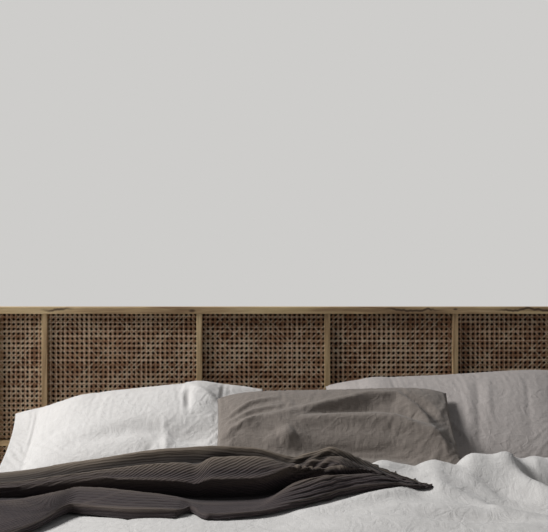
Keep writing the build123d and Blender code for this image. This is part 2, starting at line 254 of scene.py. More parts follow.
def slat_material():
    """Clear-lacquered layered birch: pale faces with a fine grain."""
    m = Maker("slat_birch")
    grain = m.noise(m.place((5, 90, 90)), 2.0, 4, 0.6, 0.4)
    layers = m.noise(m.place((0, 0, 900)), 1.0, 1)
    colour = m.ramp(grain, [(0.3, linear(190, 160, 118)), (0.7, linear(222, 196, 156))])
    colour = m.mix(m.remap(layers, 0.5, 0.6, 0.0, 0.2), colour, linear(160, 124, 84))
    return m.finish(base_color=colour, roughness=0.4, coat_weight=0.15, normal=m.bump(grain, 0.0003, 0.3))


def paint(node, material):
    """Give a CAD node's object a finished material."""
    data = nodes[node].data
    data.materials.clear()
    data.materials.append(material)


# Meshes from arrays
def put_in_scene(name, data):
    """An object that holds a mesh, a lamp or a camera."""
    made = bpy.data.objects.new(name, data)
    bpy.context.scene.collection.objects.link(made)
    return made


def bare_object(name, points, faces):
    """An object from points and a list of faces, which isn't a piece of the bed."""
    mesh = bpy.data.meshes.new(name)
    mesh.from_pydata(np.asarray(points).tolist(), [], faces)
    return put_in_scene(name, mesh)


def make_piece(name, points, faces, look, node):
    """A smooth piece that rides on the bed in place of a CAD node."""
    piece = bare_object(name, points, faces)
    piece.data.materials.append(materials[look])
    piece.data.shade_smooth()
    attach(piece, "root")
    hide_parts(node)
    return piece


def carry(piece, name, values):
    """Store a value for each point of a piece, for its material."""
    attribute = piece.data.attributes.new(name, "FLOAT", "POINT")
    attribute.data.foreach_set("value", values.astype(np.float32))


def lay_flat(piece, corners):
    """Give each face corner its place in the flat cloth, from arrays in the order of the faces."""
    layer = piece.data.uv_layers.new(name="cloth")
    layer.data.foreach_set("uv", np.concatenate([array.reshape(-1, 2) for array in corners]).ravel())


# Woven cane
cane_pitch = 0.015
pair_spread = 0.0015
pair_width = 0.0020
diagonal_width = 0.0021
# How far a strand swings over and under, a diagonal's share more, and how far two diagonals lie apart
strand_rise = 0.0006
diagonal_swing = 1.6
diagonal_gap = 0.0002
# A strand's section: how far its dome stands out, and how far its back lies behind its path
strand_crown = 0.0006
strand_base = 0.0003
# Diagonals shorter than this many pitches are left out at the panel's corners
shortest_diagonal = 0.9


def strand(path, width, side):
    """A domed strand along a path of points in the panel's plane; side is across it, in that plane."""
    half = np.asarray(side) * width / 2
    front = np.array([0.0, -strand_crown, 0.0])
    back = np.array([0.0, strand_base, 0.0])
    rings = np.stack([path - half + back, path + front, path + half + back], axis=1)
    start = np.arange(len(path) - 1)[:, None] * 3
    quads = []
    for i in range(3):
        j = (i + 1) % 3
        quads.append(np.concatenate([start + i, start + j, start + 3 + j, start + 3 + i], axis=1))
    return rings.reshape(-1, 3), np.concatenate(quads)


def cane_panel(node, seed):
    """Two-by-two upright and level strands with two diagonals, woven over and under each other."""
    low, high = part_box(node)
    middle_y = (low.y + high.y) / 2
    random = np.random.default_rng(seed)
    columns = round((high.x - low.x) / cane_pitch)
    rows = round((high.z - low.z) / cane_pitch)
    step_x, step_z = (high.x - low.x) / columns, (high.z - low.z) / rows
    points, quads, tones = [], [], []

    def lay(xs, zs, lifts, width, side):
        path = np.stack([xs, middle_y - lifts, zs], axis=1)
        base = sum(len(p) for p in points)
        ring, sides = strand(path, width, side)
        points.append(ring)
        quads.append(sides + base)
        tones.append(np.full(len(ring), random.random()))

    def pairs(start, end, step, count, crossings):
        """Each pair's two strands: which one, its place between the frame's edges, and where it swings."""
        for i in range(count + 1):
            for twin in (-1, 1):
                place = np.clip(start + i * step + twin * pair_spread, start + pair_width / 2,
                                end - pair_width / 2)
                yield place, strand_rise * twin * (-1.0) ** (i + crossings)

    up, over = np.arange(rows + 1), np.arange(columns + 1)
    for x, lifts in pairs(low.x, high.x, step_x, columns, up):
        lay(np.full(rows + 1, x), low.z + up * step_z, lifts, pair_width, (1, 0, 0))
    for z, lifts in pairs(low.z, high.z, step_z, rows, over):
        lay(low.x + over * step_x, np.full(columns + 1, z), -lifts, pair_width, (0, 0, 1))
    for slope in (-1, 1):
        across = np.array([-slope * step_z, 0, step_x]) / math.hypot(step_x, step_z)
        for k in range(-rows, columns + rows):
            if slope > 0:
                first, last = max(-k - 0.5, 0), min(columns - k - 0.5, rows)
            else:
                first, last = max(k + 0.5 - columns, 0), min(k + 0.5, rows)
            if last - first < shortest_diagonal:
                continue
            t = np.arange(first, last + 0.01, 0.5)
            u = t + k + 0.5 if slope > 0 else k + 0.5 - t
            swing = slope * np.where(np.isclose(t % 1, 0), 1.0, -1.0)
            lay(low.x + u * step_x, low.z + t * step_z,
                diagonal_swing * strand_rise * swing + diagonal_gap * slope, diagonal_width, across)
    piece = make_piece(f"weave_{node}", np.concatenate(points), np.concatenate(quads).tolist(),
                       "cane", node)
    carry(piece, "tone", np.concatenate(tones))


# Soft goods: a form that stands for the filling, and a cloth that falls over it
touch_gap = 0.003
form_depth = 0.01


def places(wide, deep):
    """Every pair of two rows of places, as two long arrays."""
    return (table.ravel() for table in np.meshgrid(wide, deep))


def grid_faces(columns, rows):
    """Quads of a grid whose points run along its columns first."""
    i, j = places(np.arange(columns), np.arange(rows))
    corner = j * (columns + 1) + i
    return np.stack([corner, corner + 1, corner + columns + 2, corner + columns + 1], axis=1)


def grid_object(name, points, columns, rows):
    """A helper sheet from a grid of points."""
    return bare_object(name, points, grid_faces(columns, rows).tolist())


def solid_form(name, points, columns, rows, friction=30):
    """A helper that cloth falls on."""
    made = grid_object(name, points, columns, rows)
    made.modifiers.new("collision", "COLLISION")
    made.collision.thickness_outer = touch_gap
    made.collision.thickness_inner = form_depth
    made.collision.cloth_friction = friction
    return made


def fabric(quality, mass, stiffness, shear, bending, slack):
    """Settings of a cloth; slack is the share that it grows as it falls."""
    return {"quality": quality, "mass": mass, "tension_stiffness": stiffness,
            "compression_stiffness": stiffness, "shear_stiffness": shear, "bending_stiffness": bending,
            "shrink_min": -slack}


def let_fall(cloths, forms, frames):
    """Simulate cloths, each (object, held points, settings), on its own form. Gives their points."""
    scene = bpy.context.scene
    scene.frame_start, scene.frame_end = 1, frames
    for (made, held, wanted), form in zip(cloths, forms):
        modifier = made.modifiers.new("cloth", "CLOTH")
        group = made.vertex_groups.new(name="pin")
        group.add(np.flatnonzero(held).tolist(), 1.0, "REPLACE")
        modifier.settings.vertex_group_mass = "pin"
        touch = modifier.collision_settings
        own = bpy.data.collections.new(form.name)
        own.objects.link(form)
        touch.collection = own
        touch.distance_min = touch_gap
        touch.collision_quality = 2
        touch.friction = 10
        for key, value in wanted.items():
            setattr(modifier.settings, key, value)
        modifier.point_cache.frame_start = 1
        modifier.point_cache.frame_end = frames
    for number in range(1, frames + 1):
        scene.frame_set(number)
    graph = bpy.context.evaluated_depsgraph_get()
    results = []
    for made, _, _ in cloths:
        result = made.evaluated_get(graph).data
        points = np.empty(len(result.vertices) * 3, np.float32)
        result.vertices.foreach_get("co", points)
        results.append(points.reshape(-1, 3).astype(float))
    for form in forms:
        bpy.data.collections.remove(bpy.data.collections[form.name])
    for made in [cloth[0] for cloth in cloths] + forms:
        bpy.data.objects.remove(made)
    scene.frame_set(1)
    return results


def bump_along(u, v, line, width, height):
    """A rounded ridge along a line of points in the cloth's own plane; a negative height is a hollow."""
    away = np.full(u.shape, 1e9)
    share = np.zeros(u.shape)
    total = len(line) - 1
    for k, ((u0, v0), (u1, v1)) in enumerate(zip(line[:-1], line[1:])):
        du, dv = u1 - u0, v1 - v0
        t = np.clip(((u - u0) * du + (v - v0) * dv) / (du * du + dv * dv), 0, 1)
        far = np.hypot(u - u0 - t * du, v - v0 - t * dv)
        nearer = far < away
        away = np.where(nearer, far, away)
        share = np.where(nearer, (k + t) / total, share)
    ends = np.sin(np.pi * np.clip(share, 0.04, 0.96)) ** 0.5
    return height * ends * np.exp(-(away / width) ** 2)


def tree_of(points, columns, rows):
    """A grid's faces, ready to be met by rays."""
    faces = [tuple(face) for face in grid_faces(columns, rows).tolist()]
    return BVHTree.FromPolygons([tuple(point) for point in points], faces)


def pressed(points, columns, rows, tree, gap, reach, passes):
    """A grid's points pushed back along their normals to lie under the cloth that covers them."""
    normals = grid_normals(points, columns, rows)
    push = np.zeros(len(points))
    for i, (point, normal) in enumerate(zip(points, normals)):
        hit, _, _, distance = tree.ray_cast(Vector(point - reach * normal), Vector(normal), 2 * reach)
        if hit is not None:
            push[i] = min(distance - reach - gap, 0)
    push = spread(push.reshape(rows + 1, columns + 1), passes).ravel()
    return points + push[:, None] * normals


# Pillows. Between their corners, the sides and the ends pull in by these shares of the half size
pillow_step = 0.009
side_pull = 0.030
end_pull = 0.045
# A pillow's back stays this far from what it lies on, and a form lies this far inside its own surface
rest_gap = 0.001
form_inset = 0.004


class Pillow:
    """A pillow between four rim corners, front left, front right, back left and back right.

    Each corner is its x, its distance from the headboard and its height. Crown and under are how far the
    filling stands out of the rim's surface, flaps are the empty ends at the left and the right, and arch is
    how much the top edge rises between its corners. Boxy and tail shape the filling towards its sides. A
    crease is a line on the pillow's plane, its width and its rise. Slack is how much the cloth grows as it
    falls, and hold is the share of the form that shows through it.
    """

    def __init__(self, look, corners, size, crown, under, creases, flaps=(0.0, 0.0), arch=0.0,
                 arch_power=6, boxy=3.2, tail=0.5, slack=0.03, hold=0.6):
        self.look = look
        self.name = "pillow_" + look
        self.corners = np.array([(x, board_front - distance, z) for x, distance, z in corners])
        self.size, self.crown, self.under, self.creases, self.flaps = size, crown, under, creases, flaps
        self.arch, self.arch_power, self.boxy, self.tail = arch, arch_power, boxy, tail
        self.slack, self.hold = slack, hold
        self.columns, self.rows = (round(length / pillow_step) for length in size)
        self.divide(1)
        front_left, front_right, back_left, back_right = self.corners
        across = front_right - front_left + back_right - back_left
        along = back_left - front_left + back_right - front_right
        normal = np.cross(across, along)
        self.normal = normal / np.linalg.norm(normal)

    def divide(self, times):
        """Make the grid a number of times finer."""
        self.columns, self.rows = self.columns * times, self.rows * times
        self.u, self.v = places(np.linspace(-1, 1, self.columns + 1), np.linspace(-1, 1, self.rows + 1))
        self.flat = np.stack([self.u * self.size[0] / 2, self.v * self.size[1] / 2], axis=1)
        self.rim = (np.abs(self.u) == 1) | (np.abs(self.v) == 1)

    def plane(self):
        """The rim's surface, with sides that pull in between the corners."""
        u = self.u * (1 - side_pull * (1 - self.v ** 2))
        v = self.v * (1 - end_pull * (1 - self.u ** 2))
        a, b = (u + 1)[:, None] / 2, (v + 1)[:, None] / 2
        front_left, front_right, back_left, back_right = self.corners
        front, back = front_left * (1 - a) + front_right * a, back_left * (1 - a) + back_right * a
        flat = front * (1 - b) + back * b
        flat[:, 2] += self.arch * (1 - np.abs(self.u) ** self.arch_power) * b[:, 0] ** 2
        return flat

    def plump(self):
        """How full the pillow is at each point, from 0 at the rim and on the empty flaps to 1."""
        low = -1 + self.flaps[0] / (self.size[0] / 2)
        high = 1 - self.flaps[1] / (self.size[0] / 2)
        u = np.clip(2 * (self.u - low) / (high - low) - 1, -1, 1)
        return (1 - np.abs(u) ** self.boxy) ** self.tail * np.sqrt(1 - np.abs(self.v) ** 2.4)

    def front(self, inset=0.0):
        """The filling's upper surface, whose creases fade out at the rim."""
        height = self.crown * self.plump()
        for line, width, rise in self.creases:
            height = height + bump_along(*self.flat.T, line, width, rise) * np.minimum(self.plump() * 1.6, 1)
        return self.plane() + (height - inset)[:, None] * self.normal

    def back(self):
        """The filling's lower surface, pressed flat by the mattress and the headboard."""
        points = self.plane() - (self.under * self.plump())[:, None] * self.normal
        points[:, 2] = np.maximum(points[:, 2], mattress_high.z + rest_gap)
        points[:, 1] = np.minimum(points[:, 1], board_front - rest_gap)
        return points

    def cloth(self):
        """The front sheet above the filling, ready to fall, with its rim held."""
        lift = 0.004 + 0.012 * self.plump()
        ripple = 0.0015 * np.sin(self.u * 23 + 3 * self.v) * np.cos(self.v * 17) * self.plump()
        points = self.front() + (lift + ripple)[:, None] * self.normal
        made = grid_object(self.name + "_cloth", points, self.columns, self.rows)
        return made, self.rim, fabric(5, 0.3, 15, 5, 0.1, self.slack)

    def form(self):
        """The filling as a helper."""
        return solid_form(self.name + "_form", self.front(form_inset), self.columns, self.rows)

    def finish(self, front_points):
        """Close the pillow with its back sheet and put it in its CAD solid's place."""
        front_points = finer(front_points, self.columns, self.rows)
        self.divide(2)
        count = len(self.u)
        inner = np.flatnonzero(~self.rim)
        back_index = np.arange(count)
        back_index[inner] = count + np.arange(len(inner))
        faces = grid_faces(self.columns, self.rows)
        under = faces[:, ::-1]
        piece = make_piece(self.name + "_linen", np.concatenate([front_points, self.back()[inner]]),
                           np.concatenate([faces, back_index[under]]).tolist(), self.look, self.name)
        lay_flat(piece, [self.flat[faces], self.flat[under] + (2, 0)])


# Duvet filling: where it ends at the sides and the foot, the rounding of its edges, its height over the
# mattress, how low its sides reach, its form's grid step, and the form's distance from the headboard
side_reach = 0.945
foot_edge = mattress_low.y - 0.035
side_round = 0.055
fill_rise = 0.055
skirt_low = 0.30
form_step = 0.022
form_head = 0.60
# The bunched crest at the head: its height at the right and how much less at the left, how far it runs up
# from the head line and falls behind its top
crest_top = 0.127
crest_loss = 0.045
crest_run = 0.075
crest_fall = 0.105
# How much of the filling's folds shows through the cover against what falling makes of them
duvet_hold = 0.75

# Puffs along the crest: x, rise, half width
crest_puffs = [(-0.72, 0.006, 0.12), (0.105, 0.014, 0.032), (0.208, 0.015, 0.028), (0.318, 0.009, 0.030),
               (0.388, 0.007, 0.030), (0.60, 0.011, 0.080), (0.82, 0.012, 0.080)]

# Soft folds seen on the duvet: (x, distance from the headboard) along each, width, rise
duvet_folds = [
    ([(0.300, 0.745), (0.384, 0.755), (0.410, 0.817), (0.443, 0.863), (0.56, 0.93), (0.72, 1.00)],
     0.022, 0.030),
    ([(0.412, 0.775), (0.44, 0.785), (0.49, 0.795), (0.60, 0.81)], 0.030, -0.060),
    ([(0.290, 0.790), (0.330, 0.82), (0.375, 0.865)], 0.018, -0.014),
    ([(0.10, 0.775), (0.20, 0.78), (0.27, 0.81)], 0.018, -0.010),
    ([(-0.10, 0.95), (0.00, 0.92), (0.16, 0.845), (0.235, 0.870), (0.283, 0.905), (0.314, 0.955),
      (0.36, 0.975), (0.45, 0.98), (0.66, 1.01)], 0.022, 0.020),
    ([(-0.04, 1.00), (0.12, 0.93), (0.24, 0.95), (0.33, 1.03), (0.50, 1.05), (0.70, 1.07)], 0.065, 0.016),
    ([(0.156, 0.69), (0.160, 0.73), (0.166, 0.775)], 0.011, -0.007),
    ([(0.256, 0.69), (0.260, 0.73), (0.268, 0.775)], 0.011, -0.012),
    ([(0.355, 0.745), (0.362, 0.77), (0.360, 0.80)], 0.022, 0.012),
    ([(0.22, 0.86), (0.30, 0.92), (0.42, 0.97), (0.56, 1.08)], 0.024, -0.012),
    ([(0.04, 0.96), (0.18, 0.955), (0.30, 0.97)], 0.030, 0.010),
    ([(0.16, 1.00), (0.27, 1.005), (0.36, 1.02)], 0.020, -0.014),
    ([(-0.12, 1.04), (0.05, 1.03), (0.22, 1.06), (0.40, 1.10)], 0.030, 0.012),
    ([(-0.70, 1.20), (-0.40, 1.20), (-0.10, 1.12), (0.20, 1.02)], 0.050, 0.015),
    ([(-0.95, 1.42), (-0.50, 1.38), (0.00, 1.34), (0.45, 1.52)], 0.045, 0.019),
    ([(-0.60, 1.62), (-0.10, 1.56), (0.40, 1.70), (0.85, 1.66)], 0.050, 0.021),
    ([(-0.80, 1.85), (-0.25, 1.80), (0.25, 1.92), (0.70, 1.88)], 0.055, 0.018),
    ([(-0.30, 1.24), (-0.05, 1.40), (0.10, 1.62)], 0.040, -0.018),
]


def crest_height(x):
    """How high the bunched head end stands above the mattress."""
    height = crest_top - crest_loss * np.clip((0.05 - x) / 0.30, 0, 1)
    for place, rise, width in crest_puffs:
        height = height + rise * np.exp(-((x - place) / width) ** 2)
    return height + 0.002 * np.sin(29 * x)


def head_line(x):
    """The distance from the headboard at which the duvet ends, clear of the grey pillow."""
    return 0.640 + 0.040 * np.exp(-(x / 0.36) ** 6) + 0.008 * np.sin(9.0 * x + 1.1)


def filling_height(x, distance):
    """The top of the duvet's filling, as a height above the floor."""
    edge = head_line(x)
    crest = edge + crest_run
    high = crest_height(x)
    rise = high * np.sqrt(np.clip(1 - ((crest - distance) / crest_run) ** 2, 0, 1))
    fall = fill_rise + (high - fill_rise) * np.exp(-((distance - crest) / crest_fall) ** 2)
    z = mattress_high.z + np.where(distance < crest, rise, fall)
    for line, width, height in duvet_folds:
        z = z + bump_along(x, distance, line, width, height)
    return z + 0.006 * np.sin(9 * x + 5 * distance) * np.sin(11 * distance - 4 * x + 1)


def eased(low, high):
    """Places from low to high, closer together over the rounding at both ends."""
    arc = side_round * (1 - np.cos(np.linspace(0, math.pi / 2, 6)))[:-1]
    inner = np.arange(low + side_round, high - side_round, form_step)
    return np.concatenate([low + arc, inner, (high - arc)[::-1]])


def dent_under(tree, x, y, z, gap):
    """How far the filling is pressed down by the cloth that lies on it, widened beyond its edge."""
    dent = np.zeros(z.shape)
    for index in np.ndindex(z.shape):
        hit, _, _, _ = tree.ray_cast(Vector((x[index], y[index], mattress_low.z)), Vector((0, 0, 1)))
        if hit is not None:
            dent[index] = min(hit.z - gap - z[index], 0)
    return spread(dent, 3)


def duvet_form(tree):
    """The filling as a helper: its top, rounded over three edges into upright sides."""
    xs = eased(-side_reach, side_reach)
    ys = eased(foot_edge, board_front - form_head + side_round)
    ys = ys[ys < board_front - form_head]
    xs = np.concatenate([xs[:1], xs, xs[-1:]])
    ys = np.concatenate([ys[:1], ys])
    x, y = np.meshgrid(xs, ys)
    z = filling_height(x, board_front - y)
    z = z + dent_under(tree, x, y, z, 0.016)
    drop_x = np.clip((np.abs(x) - side_reach + side_round) / side_round, 0, 1)
    drop_y = np.clip((foot_edge + side_round - y) / side_round, 0, 1)
    z = z - side_round * (1 - np.sqrt(np.clip(1 - drop_x ** 2 - drop_y ** 2, 0, 1)))
    z[:, [0, -1]] = skirt_low
    z[0, :] = skirt_low
    points = np.stack([x.ravel(), y.ravel(), z.ravel()], axis=1)
    return solid_form("duvet_form", points, len(xs) - 1, len(ys) - 1)


class Duvet:
    """The duvet's cover, a sheet that falls over the filling and down three sides."""

    width, length, step = 2.44, 1.81, 0.022
    start = 0.61
    # How much of the sheet's length it covers along the bed before it falls
    taken_up = 0.955

    def __init__(self):
        self.columns = round(self.width / self.step)
        self.rows = round(self.length / self.step)
        self.divide(1)

    def divide(self, times):
        """Make the grid a number of times finer."""
        self.columns, self.rows = self.columns * times, self.rows * times
        self.p, self.q = places(np.linspace(-self.width / 2, self.width / 2, self.columns + 1),
                                np.linspace(0, self.length, self.rows + 1))

    def cloth(self):
        """The sheet just above the filling, its three skirts held out and ready to fall."""
        flat = side_reach - side_round
        run = board_front - foot_edge - side_round - self.start
        along = self.q * self.taken_up
        over_x = np.clip(np.abs(self.p) - flat, 0, None)
        over_y = np.clip(along - run, 0, None)
        turn = np.arctan2(over_y, over_x)
        reach = np.maximum(over_x, over_y)
        corner_out = 0.45 - 0.20 * np.cos(6 * turn + math.pi / 2 * 3)
        out = reach * np.where((over_x > 0) & (over_y > 0), corner_out, 0.55)
        x = np.sign(self.p) * (np.minimum(np.abs(self.p), flat) + out * np.cos(turn) * (over_x > 0))
        distance = self.start + np.minimum(along, run) + out * np.sin(turn)
        z = filling_height(np.clip(x, -flat, flat), np.clip(distance, 0.66, self.start + run)) + 0.012
        z = z - reach * 0.80
        near_head = np.clip((0.65 - distance) / 0.03, 0, 1)
        z = z - near_head * (z - mattress_high.z - 0.03)
        random = np.random.default_rng(5)
        z = z + 0.004 * random.random(len(z))
        points = np.stack([x, board_front - distance, z], axis=1)
        made = grid_object("duvet_cloth", points, self.columns, self.rows)
        # These weights are for growth, whose range is 0 here, but without them the cloth settles differently
        weights = made.vertex_groups.new(name="slack")
        share = np.round(np.clip(1 - (self.q - 0.15) / 0.9, 0.25, 1), 1)
        for level in np.unique(share):
            weights.add(np.flatnonzero(share == level).tolist(), float(level), "REPLACE")
        wanted = fabric(4, 0.4, 15, 5, 0.6, 0.0)
        wanted["vertex_group_shrink"] = "slack"
        return made, [], wanted

    def refine(self, top):
        """The fallen cover, smoothed at its foot corners, twice as fine, with its folds and gathers."""
        corner = np.clip((np.abs(self.p) - 0.82) / 0.08, 0, 1) * np.clip((self.q - 1.30) / 0.10, 0, 1)
        top = relaxed(top, self.columns, self.rows, corner, 12)
        top = finer(top, self.columns, self.rows)
        self.divide(2)
        x, y, z = top.T
        distance = board_front - y
        on_top = (np.clip((side_reach - side_round - np.abs(x)) / 0.06, 0, 1)
                  * np.clip((y - foot_edge - side_round) / 0.06, 0, 1)
                  * np.clip((distance - head_line(x) - 0.03) / 0.03, 0, 1))
        top[:, 2] += duvet_hold * on_top * (filling_height(x, distance) + 0.004 - z)
        near_head = np.exp(-((self.q - 0.13) / 0.06) ** 2)
        gathers = 0.004 * near_head * np.sin(2 * math.pi * self.p / 0.083 + 2.2 * np.sin(13 * self.p))
        return top + gathers[:, None] * grid_normals(top, self.columns, self.rows)

    def finish(self, top):
        """Give the cover its thickness, thin at the seam all round, and put it in the CAD solid's place."""
        normal = grid_normals(top, self.columns, self.rows)
        rim = np.minimum(self.width / 2 - np.abs(self.p), np.minimum(self.q, self.length - self.q))
        thickness = 0.004 + 0.016 * np.sqrt(np.clip(1 - (1 - rim / 0.05).clip(0, 1) ** 2, 0, 1))
        below = top - thickness[:, None] * normal
        piece = closed_sheet("duvet_cover", top, below, self.columns, self.rows,
                             np.stack([self.p, self.q], axis=1), "duvet", "duvet")


# Throw: a long bunched sheet. Each fold line runs from the tip at the right to the bed's left edge and
# is given at the stations: its distance from the headboard, and its height above the floor.
throw_stations = (0.185, 0.12, 0.04, -0.04, -0.12, -0.21, -0.31, -0.345, -0.375, -0.45, -0.60, -0.645,
                  -0.76, -0.885)
throw_lines = {
    "back edge": (
        (0.850, 0.798, 0.755, 0.740, 0.720, 0.705, 0.700, 0.696, 0.693, 0.685, 0.675, 0.674, 0.670, 0.670),
        (0.684, 0.696, 0.714, 0.714, 0.700, 0.700, 0.700, 0.698, 0.695, 0.690, 0.680, 0.678, 0.672, 0.660)),
    "first crest": (
        (0.852, 0.810, 0.776, 0.775, 0.772, 0.757, 0.750, 0.747, 0.746, 0.743, 0.738, 0.736, 0.732, 0.725),
        (0.686, 0.702, 0.730, 0.758, 0.734, 0.753, 0.756, 0.754, 0.752, 0.747, 0.722, 0.715, 0.695, 0.682)),
    "first valley": (
        (0.854, 0.820, 0.790, 0.790, 0.788, 0.769, 0.761, 0.760, 0.759, 0.758, 0.766, 0.766, 0.766, 0.764),
        (0.685, 0.696, 0.716, 0.730, 0.716, 0.727, 0.722, 0.718, 0.715, 0.704, 0.688, 0.683, 0.672, 0.664)),
    "second crest": (
        (0.856, 0.826, 0.802, 0.804, 0.803, 0.793, 0.792, 0.793, 0.794, 0.795, 0.803, 0.801, 0.797, 0.790),
        (0.686, 0.698, 0.719, 0.738, 0.724, 0.741, 0.738, 0.721, 0.727, 0.724, 0.706, 0.700, 0.684, 0.672)),
    "brow": (
        (0.857, 0.832, 0.816, 0.832, 0.818, 0.848, 0.848, 0.845, 0.842, 0.835, 0.822, 0.819, 0.812, 0.806),
        (0.686, 0.697, 0.714, 0.716, 0.720, 0.702, 0.700, 0.688, 0.694, 0.696, 0.693, 0.687, 0.672, 0.664)),
    "deep valley": (
        (0.858, 0.834, 0.808, 0.812, 0.796, 0.824, 0.818, 0.816, 0.813, 0.808, 0.798, 0.798, 0.800, 0.800),
        (0.684, 0.690, 0.690, 0.678, 0.662, 0.652, 0.650, 0.650, 0.650, 0.649, 0.648, 0.647, 0.644, 0.644)),
    "third crest": (
        (0.860, 0.846, 0.857, 0.873, 0.869, 0.938, 0.945, 0.912, 0.898, 0.888, 0.850, 0.862, 0.900, 0.930),
        (0.686, 0.695, 0.716, 0.716, 0.696, 0.658, 0.654, 0.659, 0.669, 0.679, 0.683, 0.676, 0.660, 0.656)),
    "front fold": (
        (0.862, 0.860, 0.882, 0.896, 0.930, 0.978, 0.994, 0.932, 0.974, 0.978, 0.945, 1.070, 1.225, 1.300),
        (0.686, 0.693, 0.694, 0.682, 0.666, 0.658, 0.658, 0.658, 0.662, 0.666, 0.666, 0.662, 0.658, 0.656)),
    "front edge": (
        (0.864, 0.858, 0.876, 0.890, 0.926, 0.979, 1.004, 0.938, 0.984, 0.985, 0.940, 1.090, 1.255, 1.335),
        (0.682, 0.679, 0.676, 0.662, 0.650, 0.648, 0.648, 0.648, 0.646, 0.645, 0.645, 0.646, 0.647, 0.647)),
}
throw_cloth = 0.0022
# Fine ribs are the material's; every second one is also raised in the sheet itself
rib_pitch = 0.0068
rib_height = 0.0014
# Folds are measured against so many rows on each side, for the gauze's painted highlight on folds and
# painted shade in hollows: the rows, and the height that counts as a full fold
fold_shade_scales = ((7, 0.011), (24, 0.030))

# Share of the sheet's width between each two fold lines
throw_shares = (0.13, 0.08, 0.06, 0.12, 0.12, 0.16, 0.26, 0.07)
# The flap at the left: where its wall stands, the radius of its bend, how far it hangs, its highest fold
throw_wall = -side_reach - 0.018
throw_bend = side_round + 0.02
throw_drop = 0.20
flap_relief = 0.03
# How much of its lofted folds the throw keeps against what falling makes of them
throw_hold = 0.8


